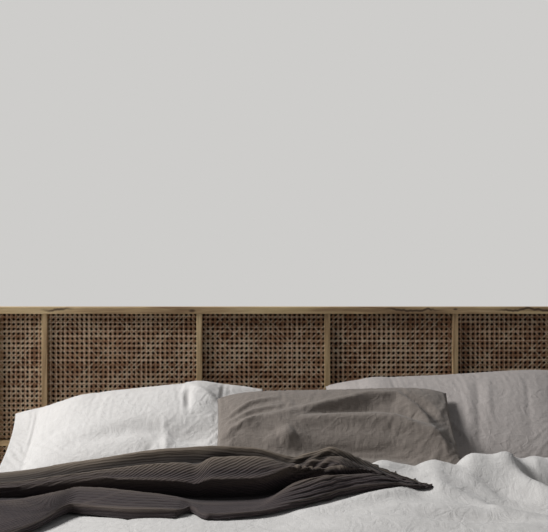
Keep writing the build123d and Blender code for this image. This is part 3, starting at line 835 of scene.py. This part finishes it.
class Throw:
    """The gauze throw: a lofted surface through its fold lines, then slack that falls into small folds."""

    columns, rows = 120, 48

    def __init__(self):
        self.points = self.loft()

    def over_side(self, z, relief, hang):
        """Round the mattress edge and hang down its left side; relief is a fold's height there."""
        turn = np.minimum(hang / (throw_bend * math.pi / 2), 1) * math.pi / 2
        below = np.maximum(hang - throw_bend * math.pi / 2, 0)
        x = throw_wall + throw_bend - throw_bend * np.sin(turn) - relief * np.sin(turn)
        return x, z - throw_bend * (1 - np.cos(turn)) - below

    def loft(self):
        """Points of the surface in rows along the sheet, from the back edge to the front edge."""
        reach = np.concatenate([[0], np.cumsum(np.abs(np.diff(throw_stations)))])
        hang_run = throw_bend * math.pi / 2 + throw_drop
        s = np.linspace(0, reach[-1] + hang_run, self.columns + 1)
        on_top = np.minimum(s, reach[-1])
        hang = np.maximum(s - reach[-1], 0)
        distances, heights = [], []
        for distance_row, height_row in throw_lines.values():
            distances.append(smooth_through(reach, distance_row, on_top))
            heights.append(smooth_through(reach, height_row, on_top))
        distances, heights = np.array(distances), np.array(heights)
        edges = np.concatenate([[0], np.cumsum(throw_shares)])
        t = np.linspace(0, 1, self.rows + 1)
        k = np.clip(np.searchsorted(edges, t, side="right") - 1, 0, len(throw_shares) - 1)
        share = (t - edges[k]) / (edges[k + 1] - edges[k])
        ease = 0.5 * share + 0.25 * (1 - np.cos(np.pi * share))
        distance = distances[k] + (distances[k + 1] - distances[k]) * share[:, None]
        z = heights[k] + (heights[k + 1] - heights[k]) * ease[:, None]
        x = np.broadcast_to(throw_stations[0] - on_top, z.shape)
        base = np.linspace(heights[0, -1], heights[-1, -1], self.rows + 1)[:, None]
        flap_x, flap_z = self.over_side(z, np.clip(z - base, 0, flap_relief), hang[None, :])
        x = np.where(hang > 0, flap_x, x)
        z = np.where(hang > 0, flap_z, z)
        return np.stack([x.ravel(), board_front - distance.ravel(), z.ravel()], axis=1)

    def cloth(self):
        """The sheet on its folds, with slack to fall in smaller ones."""
        random = np.random.default_rng(11)
        points = self.points + 0.005 * grid_normals(self.points, self.columns, self.rows)
        points = points + 0.0008 * random.standard_normal(points.shape)
        made = grid_object("throw_cloth", points, self.columns, self.rows)
        return made, [], fabric(5, 0.25, 12, 3, 0.3, 0.035)

    def form(self):
        """The folds themselves, as a helper."""
        points = self.points - form_inset * grid_normals(self.points, self.columns, self.rows)
        return solid_form("throw_form", points, self.columns, self.rows, friction=60)

    def finish(self, top):
        """Refine the sheet, gather it at its knot, raise its ribs and give it its thickness."""
        columns, rows = self.columns * 2, self.rows * 4
        top = finer(finer(top, self.columns, self.rows), columns, self.rows * 2, False)
        table = top.reshape(rows + 1, columns + 1, 3)
        along = np.linalg.norm(np.diff(table, axis=1), axis=2).mean(axis=0)
        across = np.linalg.norm(np.diff(table, axis=0), axis=2)
        u = np.concatenate([[0], np.cumsum(along)])
        v = np.concatenate([np.zeros((1, columns + 1)), np.cumsum(across, axis=0)])
        t = np.repeat(np.linspace(0, 1, rows + 1), columns + 1)
        u, v = np.broadcast_to(u, v.shape).ravel(), v.ravel()
        normal = grid_normals(top, columns, rows)
        top = top + self.pleats(top, t)[:, None] * normal
        marks = self.marks(u, v, t, top[:, 2], columns)
        waves = [np.sin(math.pi * marks[name] / rib_pitch) for name in ("rib_long", "rib_slant")]
        wave = waves[0] + (waves[1] - waves[0]) * marks["rib_slanted"]
        top = top + (rib_height * wave * marks["rib_strength"])[:, None] * normal
        piece = closed_sheet("throw_gauze", top, top - throw_cloth * normal, columns, rows,
                             np.stack([u, v], axis=1), "gauze", "throw")
        for name, values in marks.items():
            carry(piece, name, np.tile(values, 2))

    def marks(self, u, v, t, z, columns):
        """Values for the ribs and the material at each point.

        They are the metres across the long ribs and across the slanting ones, how far the slanting ones take
        over, how strongly ribs show, the share across the sheet, and 1 on a fold down to 0 in a hollow, from
        which the material paints highlight on the folds and shade in the hollows.
        """
        width = np.tile(v.reshape(-1, columns + 1)[-1], len(v) // (columns + 1))
        wander = 0.004 * np.sin(9 * u + 2 * v) + 0.003 * np.sin(23 * u + 1)
        lens = np.exp(-((t - 0.33) / 0.075) ** 4) * np.exp(-((u - 0.55) / 0.24) ** 4)
        tip = np.clip((0.36 - u) / 0.05, 0, 1)
        left = np.clip((u - 0.78) / 0.08, 0, 1) * np.clip((t - 0.54) / 0.05, 0, 1)
        patchy = 0.75 + 0.25 * np.sin(11 * u + 17 * v) * np.sin(5 * u - 9 * v + 2)
        z = z.reshape(-1, columns + 1)
        # How far each point stands over or under its neighbours, for the painted highlight and painted shade
        fold = np.full(z.shape, 0.5)
        for reach, depth in fold_shade_scales:
            near = np.pad(z, ((reach, reach), (0, 0)), mode="edge")
            mean = sum(near[i:i + len(z)] for i in range(2 * reach + 1)) / (2 * reach + 1)
            fold = fold + 0.5 * (z - mean) / depth
        strength = np.maximum.reduce([np.full(len(u), 0.35), lens, tip, 0.8 * left]) * patchy
        return {"rib_long": np.where(t < 0.54, v, width - v) + wander,
                "rib_slant": 0.80 * v - 0.60 * u + wander, "rib_slanted": lens,
                "rib_strength": strength, "across": t, "fold": np.clip(fold.ravel(), 0, 1)}

    def pleats(self, top, t):
        """Gathers and a lobe at the throw's knot, and ruffles along its free back edge at the right."""
        x, _, z = top.T
        near = np.exp(-((x + 0.085) / 0.045) ** 2 - ((t - 0.34) / 0.24) ** 2)
        gathers = 0.0055 * near * np.sin(2 * math.pi * (0.87 * z - 0.5 * x) / 0.016)
        gathers = gathers + 0.010 * np.exp(-((x + 0.015) / 0.032) ** 2 - ((t - 0.36) / 0.14) ** 2)
        free = np.clip(x / 0.03, 0, 1) * np.clip(1 - t / 0.16, 0, 1)
        waves = np.sin(2 * math.pi * x / 0.021) + 0.7 * np.sin(2 * math.pi * x / 0.0135 + 9 * t)
        return gathers + 0.0045 * free * waves


def smooth_through(stations, values, wanted):
    """Values between given ones, without corners and without overshoot."""
    values = np.asarray(values, float)
    steps = np.diff(stations)
    slopes = np.diff(values) / steps
    inner = np.where(slopes[1:] * slopes[:-1] > 0, (slopes[1:] + slopes[:-1]) / 2, 0)
    limit = 2.5 * np.minimum(np.abs(slopes[1:]), np.abs(slopes[:-1]))
    inner = np.clip(inner, -limit, limit)
    tangent = np.concatenate([[slopes[0]], inner, [slopes[-1]]])
    k = np.clip(np.searchsorted(stations, wanted, side="right") - 1, 0, len(steps) - 1)
    h = steps[k]
    t = (wanted - np.asarray(stations)[k]) / h
    return ((2 * t ** 3 - 3 * t ** 2 + 1) * values[k] + (t ** 3 - 2 * t ** 2 + t) * h * tangent[k]
            + (3 * t ** 2 - 2 * t ** 3) * values[k + 1] + (t ** 3 - t ** 2) * h * tangent[k + 1])


def finer(points, columns, rows, both_ways=True):
    """Twice as many rows, and columns too unless told otherwise, on a smooth surface through the points."""
    table = points.reshape(rows + 1, columns + 1, 3)

    def double(a):
        before = np.concatenate([2 * a[:1] - a[1:2], a[:-1]])
        after = np.concatenate([a[1:], 2 * a[-1:] - a[-2:-1]])
        middle = (9 * (a[:-1] + a[1:]) - before[:-1] - after[1:]) / 16
        result = np.empty((2 * len(a) - 1, *a.shape[1:]))
        result[::2] = a
        result[1::2] = middle
        return result

    table = double(table)
    if both_ways:
        table = double(table.transpose(1, 0, 2)).transpose(1, 0, 2)
    return table.reshape(-1, 3)


def neighbours(padded):
    """The mean of each entry's four neighbours, from a table with one more row all round."""
    return (padded[:-2, 1:-1] + padded[2:, 1:-1] + padded[1:-1, :-2] + padded[1:-1, 2:]) / 4


def relaxed(points, columns, rows, share, passes):
    """A grid's points drawn towards their neighbours, by a share of their own each."""
    table = points.reshape(rows + 1, columns + 1, 3)
    share = 0.6 * share.reshape(rows + 1, columns + 1, 1)
    for _ in range(passes):
        padded = np.pad(table, ((1, 1), (1, 1), (0, 0)), mode="reflect", reflect_type="odd")
        table = table + share * (neighbours(padded) - table)
    return table.reshape(-1, 3)


def spread(table, passes):
    """Hollows of a grid of values widened softly to their neighbours."""
    for _ in range(passes):
        table = np.minimum(table, neighbours(np.pad(table, 1, mode="edge")))
    return table


def outline_of(columns, rows):
    """The rim points of a grid in order."""
    wide = columns + 1
    bottom = np.arange(columns)
    right = np.arange(rows) * wide + columns
    top = rows * wide + np.arange(columns, 0, -1)
    left = np.arange(rows, 0, -1) * wide
    return np.concatenate([bottom, right, top, left])


def grid_normals(points, columns, rows):
    """The upward normals of a grid's points."""
    table = points.reshape(rows + 1, columns + 1, 3)
    across = np.gradient(table, axis=1)
    along = np.gradient(table, axis=0)
    normal = np.cross(across, along).reshape(-1, 3)
    normal /= np.maximum(np.linalg.norm(normal, axis=1), 1e-9)[:, None]
    return normal if normal[:, 2].mean() > 0 else -normal


def closed_sheet(name, top, below, columns, rows, flat, look, node):
    """A piece of cloth with an upper side, a lower side and a rim, and its flat plane."""
    count = len(top)
    faces = grid_faces(columns, rows)
    under = faces[:, ::-1]
    outline = outline_of(columns, rows)
    after = np.roll(outline, -1)
    wall = np.stack([outline + count, after + count, after, outline], axis=1)
    piece = make_piece(name, np.concatenate([top, below]),
                       np.concatenate([faces, under + count, wall]).tolist(), look, node)
    lay_flat(piece, [flat[faces], flat[under] + (3, 0), flat[wall % count]])
    return piece


# Mattress: its corner seen from above, its rounded edge, and the piped seam at each end of its walls
mattress_corner = 0.055
mattress_edge = 0.022
piping_radius = 0.004
piping_inset = 0.003
wall_start = 0.014
# The walls are quilted in three rows of pads between shallow seams
quilt_rows = 3
quilt_depth = 0.0035
wall_inset = 0.001


def mattress_half():
    """Half of the profile, from the underside's middle to the wall's foot: inset, height."""
    middle = (mattress_high.x - mattress_low.x) / 2
    half = [(middle - 0.002, 0.0), (0.30, 0.0), (mattress_edge + 0.03, 0.0), (mattress_edge, 0.001)]
    for angle in np.linspace(0, math.pi / 2, 7)[1:-1]:
        half.append((mattress_edge * (1 - math.sin(angle)), mattress_edge * (1 - math.cos(angle))))
    for angle in np.linspace(0, math.pi, 7):
        half.append((piping_inset - piping_radius * math.sin(angle),
                     mattress_edge + piping_radius * (1 - math.cos(angle))))
    return half


def mattress_cover():
    """A padded block with piped edges and quilted seams on its sides."""
    low, high = mattress_low, mattress_high
    half_size = np.array([high.x - low.x, high.y - low.y]) / 2
    middle_y = (high.y + low.y) / 2
    half = mattress_half()
    profile = [(inset, low.z + rise) for inset, rise in half]
    wall_rise = mattress_edge + wall_start
    for share in np.linspace(0, 1, 26):
        seams = abs(math.sin(math.pi * share * quilt_rows))
        profile.append((quilt_depth * (1 - seams ** 0.5) + wall_inset,
                        low.z + wall_rise + share * (high.z - low.z - 2 * wall_rise)))
    profile += [(inset, high.z - rise) for inset, rise in reversed(half)]
    ring = rounded_ring(*half_size, mattress_corner, 0.02)
    count = len(ring)
    points = []
    for inset, height in profile:
        scaled = ring * (half_size - np.minimum(inset, half_size - 0.001)) / half_size
        points.append(np.column_stack([scaled[:, 0], scaled[:, 1] + middle_y, np.full(count, height)]))
    step = np.arange(count)
    after = np.roll(step, -1)
    quads = np.stack([step, after, count + after, count + step], axis=1)
    faces = np.concatenate([quads + k * count for k in range(len(profile) - 1)]).tolist()
    last_ring = (len(profile) - 1) * count
    caps = [step[::-1].tolist(), (last_ring + step).tolist()]
    piece = make_piece("mattress_cover", np.concatenate(points), faces + caps, "ticking", "mattress")


def rounded_ring(half_x, half_y, corner, step):
    """Points round a rectangle with rounded corners, anticlockwise."""
    ring = []
    for cx, cy, start in ((1, 1, 0), (-1, 1, 90), (-1, -1, 180), (1, -1, 270)):
        for angle in np.radians(np.linspace(start, start + 90, 9)):
            ring.append((cx * (half_x - corner) + corner * math.cos(angle),
                         cy * (half_y - corner) + corner * math.sin(angle)))
    dense = []
    for (x0, y0), (x1, y1) in zip(ring, ring[1:] + ring[:1]):
        parts = max(1, round(math.hypot(x1 - x0, y1 - y0) / step))
        for i in range(parts):
            dense.append((x0 + (x1 - x0) * i / parts, y0 + (y1 - y0) * i / parts))
    return np.array(dense)


# Fabrics
def linen_material(name, shade, dark, light):
    """Washed linen in three shades: a loose weave with slubs, fine creases and faint tone changes."""
    m = Maker(name)
    shade, dark, light = (linear(*tone) for tone in (shade, dark, light))
    plane = m.flat()
    warp = m.noise(m.flat((30, 700, 1)), 1.0, 2, 0.6)
    weft = m.noise(m.flat((700, 30, 1)), 1.0, 2, 0.6)
    weave = m.math("ADD", warp, weft)
    crumple = m.noise(plane, 26.0, 5, 0.62, 0.9)
    patches = m.noise(plane, 5.0, 3)
    cells = m.add("ShaderNodeTexVoronoi", {"Vector": plane, "Scale": 22.0}, feature="DISTANCE_TO_EDGE")
    kept = m.remap(m.noise(m.flat(shift=(4, 0, 0)), 9.0, 2), 0.53, 0.66)
    crease = m.product(m.remap(cells.outputs["Distance"], 0.0, 0.06, 1.0, 0.0), kept)
    colour = m.mix(m.remap(weave, 0.8, 1.2), dark, light)
    colour = m.mix(0.6, colour, shade)
    colour = m.mix(m.remap(patches, 0.35, 0.7, 0.0, 0.18), colour, dark)
    fine = m.bump(weave, 0.0006, 0.5)
    sharp = m.bump(crease, 0.002, 0.32, fine)
    relief = m.bump(m.remap(crumple, 0.3, 0.75), 0.004, 0.55, sharp)
    return m.finish(base_color=colour, roughness=0.9, sheen_weight=0.15, normal=relief)


def gauze_material():
    """Charcoal cotton gauze: crinkled ribs, brown at the back and plum at the front, with painted shade in
    the hollows of the ribs and folds and painted highlight on the folds' crests.
    """
    m = Maker("charcoal_gauze")
    long_wave, slant_wave = (m.math("SINE", m.product(m.worn(name), 2 * math.pi / rib_pitch))
                             for name in ("rib_long", "rib_slant"))
    slanted = m.product(m.math("SUBTRACT", slant_wave, long_wave), m.worn("rib_slanted"))
    rib = m.product(m.math("ADD", long_wave, slanted), m.worn("rib_strength"))
    rib = m.math("MULTIPLY_ADD", rib, 0.5, 0.5)
    across, fold = m.worn("across"), m.worn("fold")
    strands = m.noise(m.flat((10, 420, 1)), 1.0, 3, 0.6, 0.3)
    threads = m.noise(m.flat((900, 900, 1)), 1.0, 2)
    patches = m.noise(m.flat(), 7.0, 3)
    high = m.math("ADD", m.product(rib, 0.65), m.product(strands, 0.35))
    colour = m.mix(m.remap(across, 0.10, 0.40), linear(86, 76, 65), linear(72, 60, 61))
    colour = m.mix(m.remap(patches, 0.35, 0.7, 0.0, 0.35), colour, linear(54, 47, 46))
    # Painted shade: darkens where the ribs and strands are low, as shade in the crinkle's hollows
    colour = m.mix(m.remap(high, 0.25, 0.70, 0.85, 0.0), colour, linear(15, 12, 13))
    # Painted highlight on the crests of the folds
    colour = m.mix(m.remap(fold, 0.5, 1.0, 0.0, 0.75), colour, linear(128, 115, 101))
    # Painted shade in the hollows between the folds
    colour = m.mix(m.remap(fold, 0.0, 0.5, 0.95, 0.0), colour, linear(10, 8, 9))
    fine = m.bump(threads, 0.0005, 0.4)
    ribbed = m.bump(rib, 0.0022, 0.9, fine)
    relief = m.bump(strands, 0.003, 0.6, ribbed)
    return m.finish(base_color=colour, roughness=0.95, sheen_weight=0.06, normal=relief)


def ticking_material():
    """Off-white woven mattress cloth with fine stripes of its own weave."""
    m = Maker("mattress_ticking")
    weave = m.noise(m.place((500, 500, 500)), 1.0, 2)
    stripes = m.noise(m.place((60, 60, 0)), 1.0, 1)
    colour = m.mix(m.remap(weave, 0.4, 0.6), linear(214, 209, 199), linear(226, 222, 214))
    colour = m.mix(m.remap(stripes, 0.5, 0.62, 0.0, 0.3), colour, linear(196, 189, 176))
    return m.finish(base_color=colour, roughness=0.85, normal=m.bump(weave, 0.0006, 0.5))


materials = {
    "timber_x": timber_material("timber_x", "X"),
    "timber_y": timber_material("timber_y", "Y"),
    "timber_z": timber_material("timber_z", "Z"),
    "top_rail": timber_material("timber_top_rail", "X", streaks=True),
    "cane": cane_material(),
    "board": board_material(),
    "plastic": plastic_material(),
    "birch": slat_material(),
    "white": linen_material("white_linen", (209, 206, 203), (190, 186, 182), (222, 220, 217)),
    "stone": linen_material("stone_linen", (170, 163, 159), (148, 140, 136), (186, 179, 175)),
    "gauze": gauze_material(),
    "ticking": ticking_material(),
    "duvet": linen_material("duvet_linen", (210, 207, 204), (190, 187, 183), (224, 222, 219)),
    "grey": linen_material("grey_linen", (126, 117, 109), (100, 91, 84), (146, 137, 129)),
}
# Which rigid nodes show each material, by how their names start
node_looks = {
    "timber_z": ("headboard_post", "headboard_stile", "leg_", "centre_legs"),
    "timber_x": ("headboard_mid", "headboard_bottom", "head_rail", "foot_rail"),
    "timber_y": ("side_rail",),
    "birch": ("slats", "slat_ledge", "centre_beam"),
    "plastic": ("slat_holders",),
    "top_rail": ("headboard_top_rail",),
    "board": ("headboard_back_board",),
}
for name in nodes:
    for look, starts in node_looks.items():
        if name.startswith(starts):
            paint(name, materials[look])

for seed, name in enumerate(sorted(n for n in nodes if n.startswith("cane_"))):
    cane_panel(name, seed)

# The pillows: white and stone against the headboard, then the grey one over both
white = Pillow(
    "white",
    corners=[(-0.905, 0.47, 0.620), (-0.19, 0.53, 0.622), (-0.952, 0.085, 0.728), (-0.20, 0.06, 0.800)],
    size=(0.78, 0.50), crown=0.078, under=0.035,
    creases=[
        ([(0.14, 0.12), (0.28, 0.12)], 0.100, 0.026),
        ([(-0.28, 0.16), (-0.12, 0.16)], 0.110, 0.012),
        ([(-0.16, -0.13), (0.066, -0.085), (0.24, -0.13)], 0.034, -0.016),
        ([(0.10, -0.11), (0.20, -0.105), (0.30, -0.12)], 0.050, -0.024),
        ([(0.05, -0.178), (0.085, -0.172)], 0.020, -0.010),
        ([(0.112, -0.10), (0.118, -0.185)], 0.016, 0.008),
        ([(0.170, 0.11), (0.176, 0.01)], 0.012, -0.014),
        ([(0.186, 0.11), (0.27, 0.04)], 0.014, 0.010),
        ([(-0.29, -0.08), (-0.22, -0.02)], 0.020, -0.008),
        ([(-0.315, -0.20), (-0.310, 0.20)], 0.016, -0.006)],
    flaps=(0.075, 0.0), arch=0.022, arch_power=4, boxy=2.4, tail=0.8)
stone = Pillow(
    "stone",
    corners=[(0.00, 0.47, 0.625), (0.765, 0.47, 0.625), (-0.01, 0.06, 0.808), (0.765, 0.04, 0.858)],
    size=(0.78, 0.50), crown=0.074, under=0.045,
    creases=[
        ([(-0.30, 0.15), (-0.20, 0.15)], 0.110, 0.012),
        ([(0.03, 0.16), (-0.006, -0.107), (-0.03, -0.22)], 0.020, 0.005),
        ([(0.09, 0.15), (0.03, -0.107)], 0.018, 0.004),
        ([(0.06, 0.15), (0.012, -0.107), (-0.01, -0.2)], 0.018, -0.004),
        ([(-0.09, -0.048), (-0.018, -0.179)], 0.007, 0.005),
        ([(0.21, 0.16), (0.162, -0.083), (0.15, -0.2)], 0.016, -0.003)],
    flaps=(0.0, 0.06), boxy=4.5)
grey = Pillow(
    "grey",
    corners=[(-0.325, 0.665, 0.618), (0.320, 0.665, 0.618), (-0.325, 0.32, 0.806), (0.318, 0.295, 0.818)],
    size=(0.68, 0.47), crown=0.040, under=0.015,
    creases=[
        ([(-0.31, 0.03), (-0.173, 0.054), (-0.006, 0.114), (0.101, 0.151), (0.185, 0.150), (0.25, 0.06),
          (0.28, -0.02)], 0.022, 0.026),
        ([(0.20, 0.17), (0.26, 0.12), (0.285, 0.05)], 0.020, -0.016),
        ([(-0.10, 0.07), (0.0, 0.082), (0.12, 0.10), (0.22, 0.05)], 0.018, -0.014),
        ([(-0.25, 0.02), (-0.006, 0.042), (0.161, 0.03), (0.268, -0.03), (0.33, -0.102)], 0.026, 0.026),
        ([(-0.165, -0.035), (-0.115, -0.015)], 0.034, 0.020),
        ([(-0.24, -0.09), (0.0, -0.085), (0.15, -0.09), (0.26, -0.13)], 0.038, -0.034),
        ([(-0.31, -0.04), (-0.20, -0.078)], 0.030, -0.022),
        ([(-0.33, 0.07), (-0.25, 0.140), (-0.17, 0.165)], 0.010, 0.010),
        ([(-0.33, 0.04), (-0.24, 0.095), (-0.13, 0.125)], 0.010, 0.010),
        ([(-0.33, 0.0), (-0.22, 0.05)], 0.010, 0.008)],
    arch=0.020, boxy=4.0, slack=0.04, hold=0.65)

# Each cloth falls on its own form alone, and is then pressed back under what lies on it
fall_frames = 36
gap_under_throw = 0.006
gap_under_grey = 0.004
pillows = [white, stone, grey]
duvet = Duvet()
throw = Throw()
falling = [pillow.cloth() for pillow in pillows] + [duvet.cloth(), throw.cloth()]
lofted_throw = tree_of(throw.points, throw.columns, throw.rows)
forms = [pillow.form() for pillow in pillows] + [duvet_form(lofted_throw), throw.form()]
*fallen, cover, sheet = let_fall(falling, forms, fall_frames)
sheet = throw_hold * throw.points + (1 - throw_hold) * sheet
cover = duvet.refine(cover)
cover = pressed(cover, duvet.columns, duvet.rows, tree_of(sheet, throw.columns, throw.rows),
                gap_under_throw, reach=0.09, passes=8)
grey_back = tree_of(grey.back(), grey.columns, grey.rows)
for pillow, points in zip(pillows, fallen):
    points = pillow.hold * pillow.front() + (1 - pillow.hold) * points
    if pillow is not grey:
        points = pressed(points, pillow.columns, pillow.rows, grey_back,
                         gap_under_grey, reach=0.12, passes=3)
    pillow.finish(points)
duvet.finish(cover)
throw.finish(sheet)
mattress_cover()


# Stage: a pale floor that fades into the background, soft light from the upper left, the camera
backdrop = linear(206, 205, 203)
floor_half = 3.5
floor_fade = (1.7, 3.4)
# Each lamp's name, place, target, size and power
lamps = (("key", (-3.9, 0.45, 4.2), (0.0, 0.4, 0.6), 1.5, 300),
         ("fill", (2.6, -3.0, 2.4), (0.0, 0.4, 0.5), 2.4, 8))


def pale_floor():
    """A plain floor that takes the shadow and fades into the background around the bed."""
    m = Maker("pale_floor")
    x, y, _ = m.axes(m.place())[:3]
    fade = m.remap(m.length(x, y), *floor_fade)
    lit = m.add("ShaderNodeBsdfDiffuse", {"Color": linear(214, 212, 208)}).outputs[0]
    glow = m.add("ShaderNodeEmission", {"Color": backdrop, "Strength": 1.0}).outputs[0]
    path = m.add("ShaderNodeLightPath").outputs
    seen = m.math("MAXIMUM", path["Is Camera Ray"], path["Is Glossy Ray"])
    mixed = m.add("ShaderNodeMixShader", {0: m.product(seen, fade), 1: lit, 2: glow}).outputs[0]
    m.feed(m.tree.nodes["Material Output"], "Surface", mixed)
    m.tree.nodes.remove(m.shader)
    corners = [(x * floor_half, y * floor_half, 0) for x, y in ((-1, -1), (1, -1), (1, 1), (-1, 1))]
    floor = bare_object("floor", corners, [(0, 1, 2, 3)])
    floor.data.materials.append(m.material)


def studio_world():
    """A dim even light, with the plain background where the camera sees past the floor."""
    world = bpy.data.worlds.new("studio")
    bpy.context.scene.world = world
    world.use_nodes = True
    tree = world.node_tree
    background = tree.nodes["Background"]
    background.inputs["Color"].default_value = linear(226, 228, 232)
    background.inputs["Strength"].default_value = 0.16
    plain = tree.nodes.new("ShaderNodeBackground")
    plain.inputs["Color"].default_value = backdrop
    seen = tree.nodes.new("ShaderNodeLightPath")
    both = tree.nodes.new("ShaderNodeMixShader")
    tree.links.new(seen.outputs["Is Camera Ray"], both.inputs[0])
    tree.links.new(background.outputs[0], both.inputs[1])
    tree.links.new(plain.outputs[0], both.inputs[2])
    tree.links.new(both.outputs[0], tree.nodes["World Output"].inputs["Surface"])


def add_lamp(name, place, target, size, power):
    """A square soft lamp that points at its target."""
    lamp = bpy.data.lights.new(name, "AREA")
    lamp.shape = "SQUARE"
    lamp.size = size
    lamp.energy = power
    light = put_in_scene(name, lamp)
    light.location = place
    away = np.array(target) - np.array(place)
    turn = math.atan2(away[1], away[0]) - math.pi / 2
    tilt = math.atan2(math.hypot(away[0], away[1]), -away[2])
    light.rotation_euler = (tilt, 0, turn)


def photo_camera():
    """A level camera where the photograph's stood, which looks straight at the headboard."""
    data = bpy.data.cameras.new("camera")
    data.sensor_width = 36
    data.lens = data.sensor_width * photo_focal / photo_width
    camera = put_in_scene("camera", data)
    camera.location = camera_place
    camera.rotation_euler = (math.pi / 2, 0, 0)
    bpy.context.scene.camera = camera
    bpy.context.scene.view_settings.view_transform = "Standard"


pale_floor()
studio_world()
for lamp in lamps:
    add_lamp(*lamp)
photo_camera()
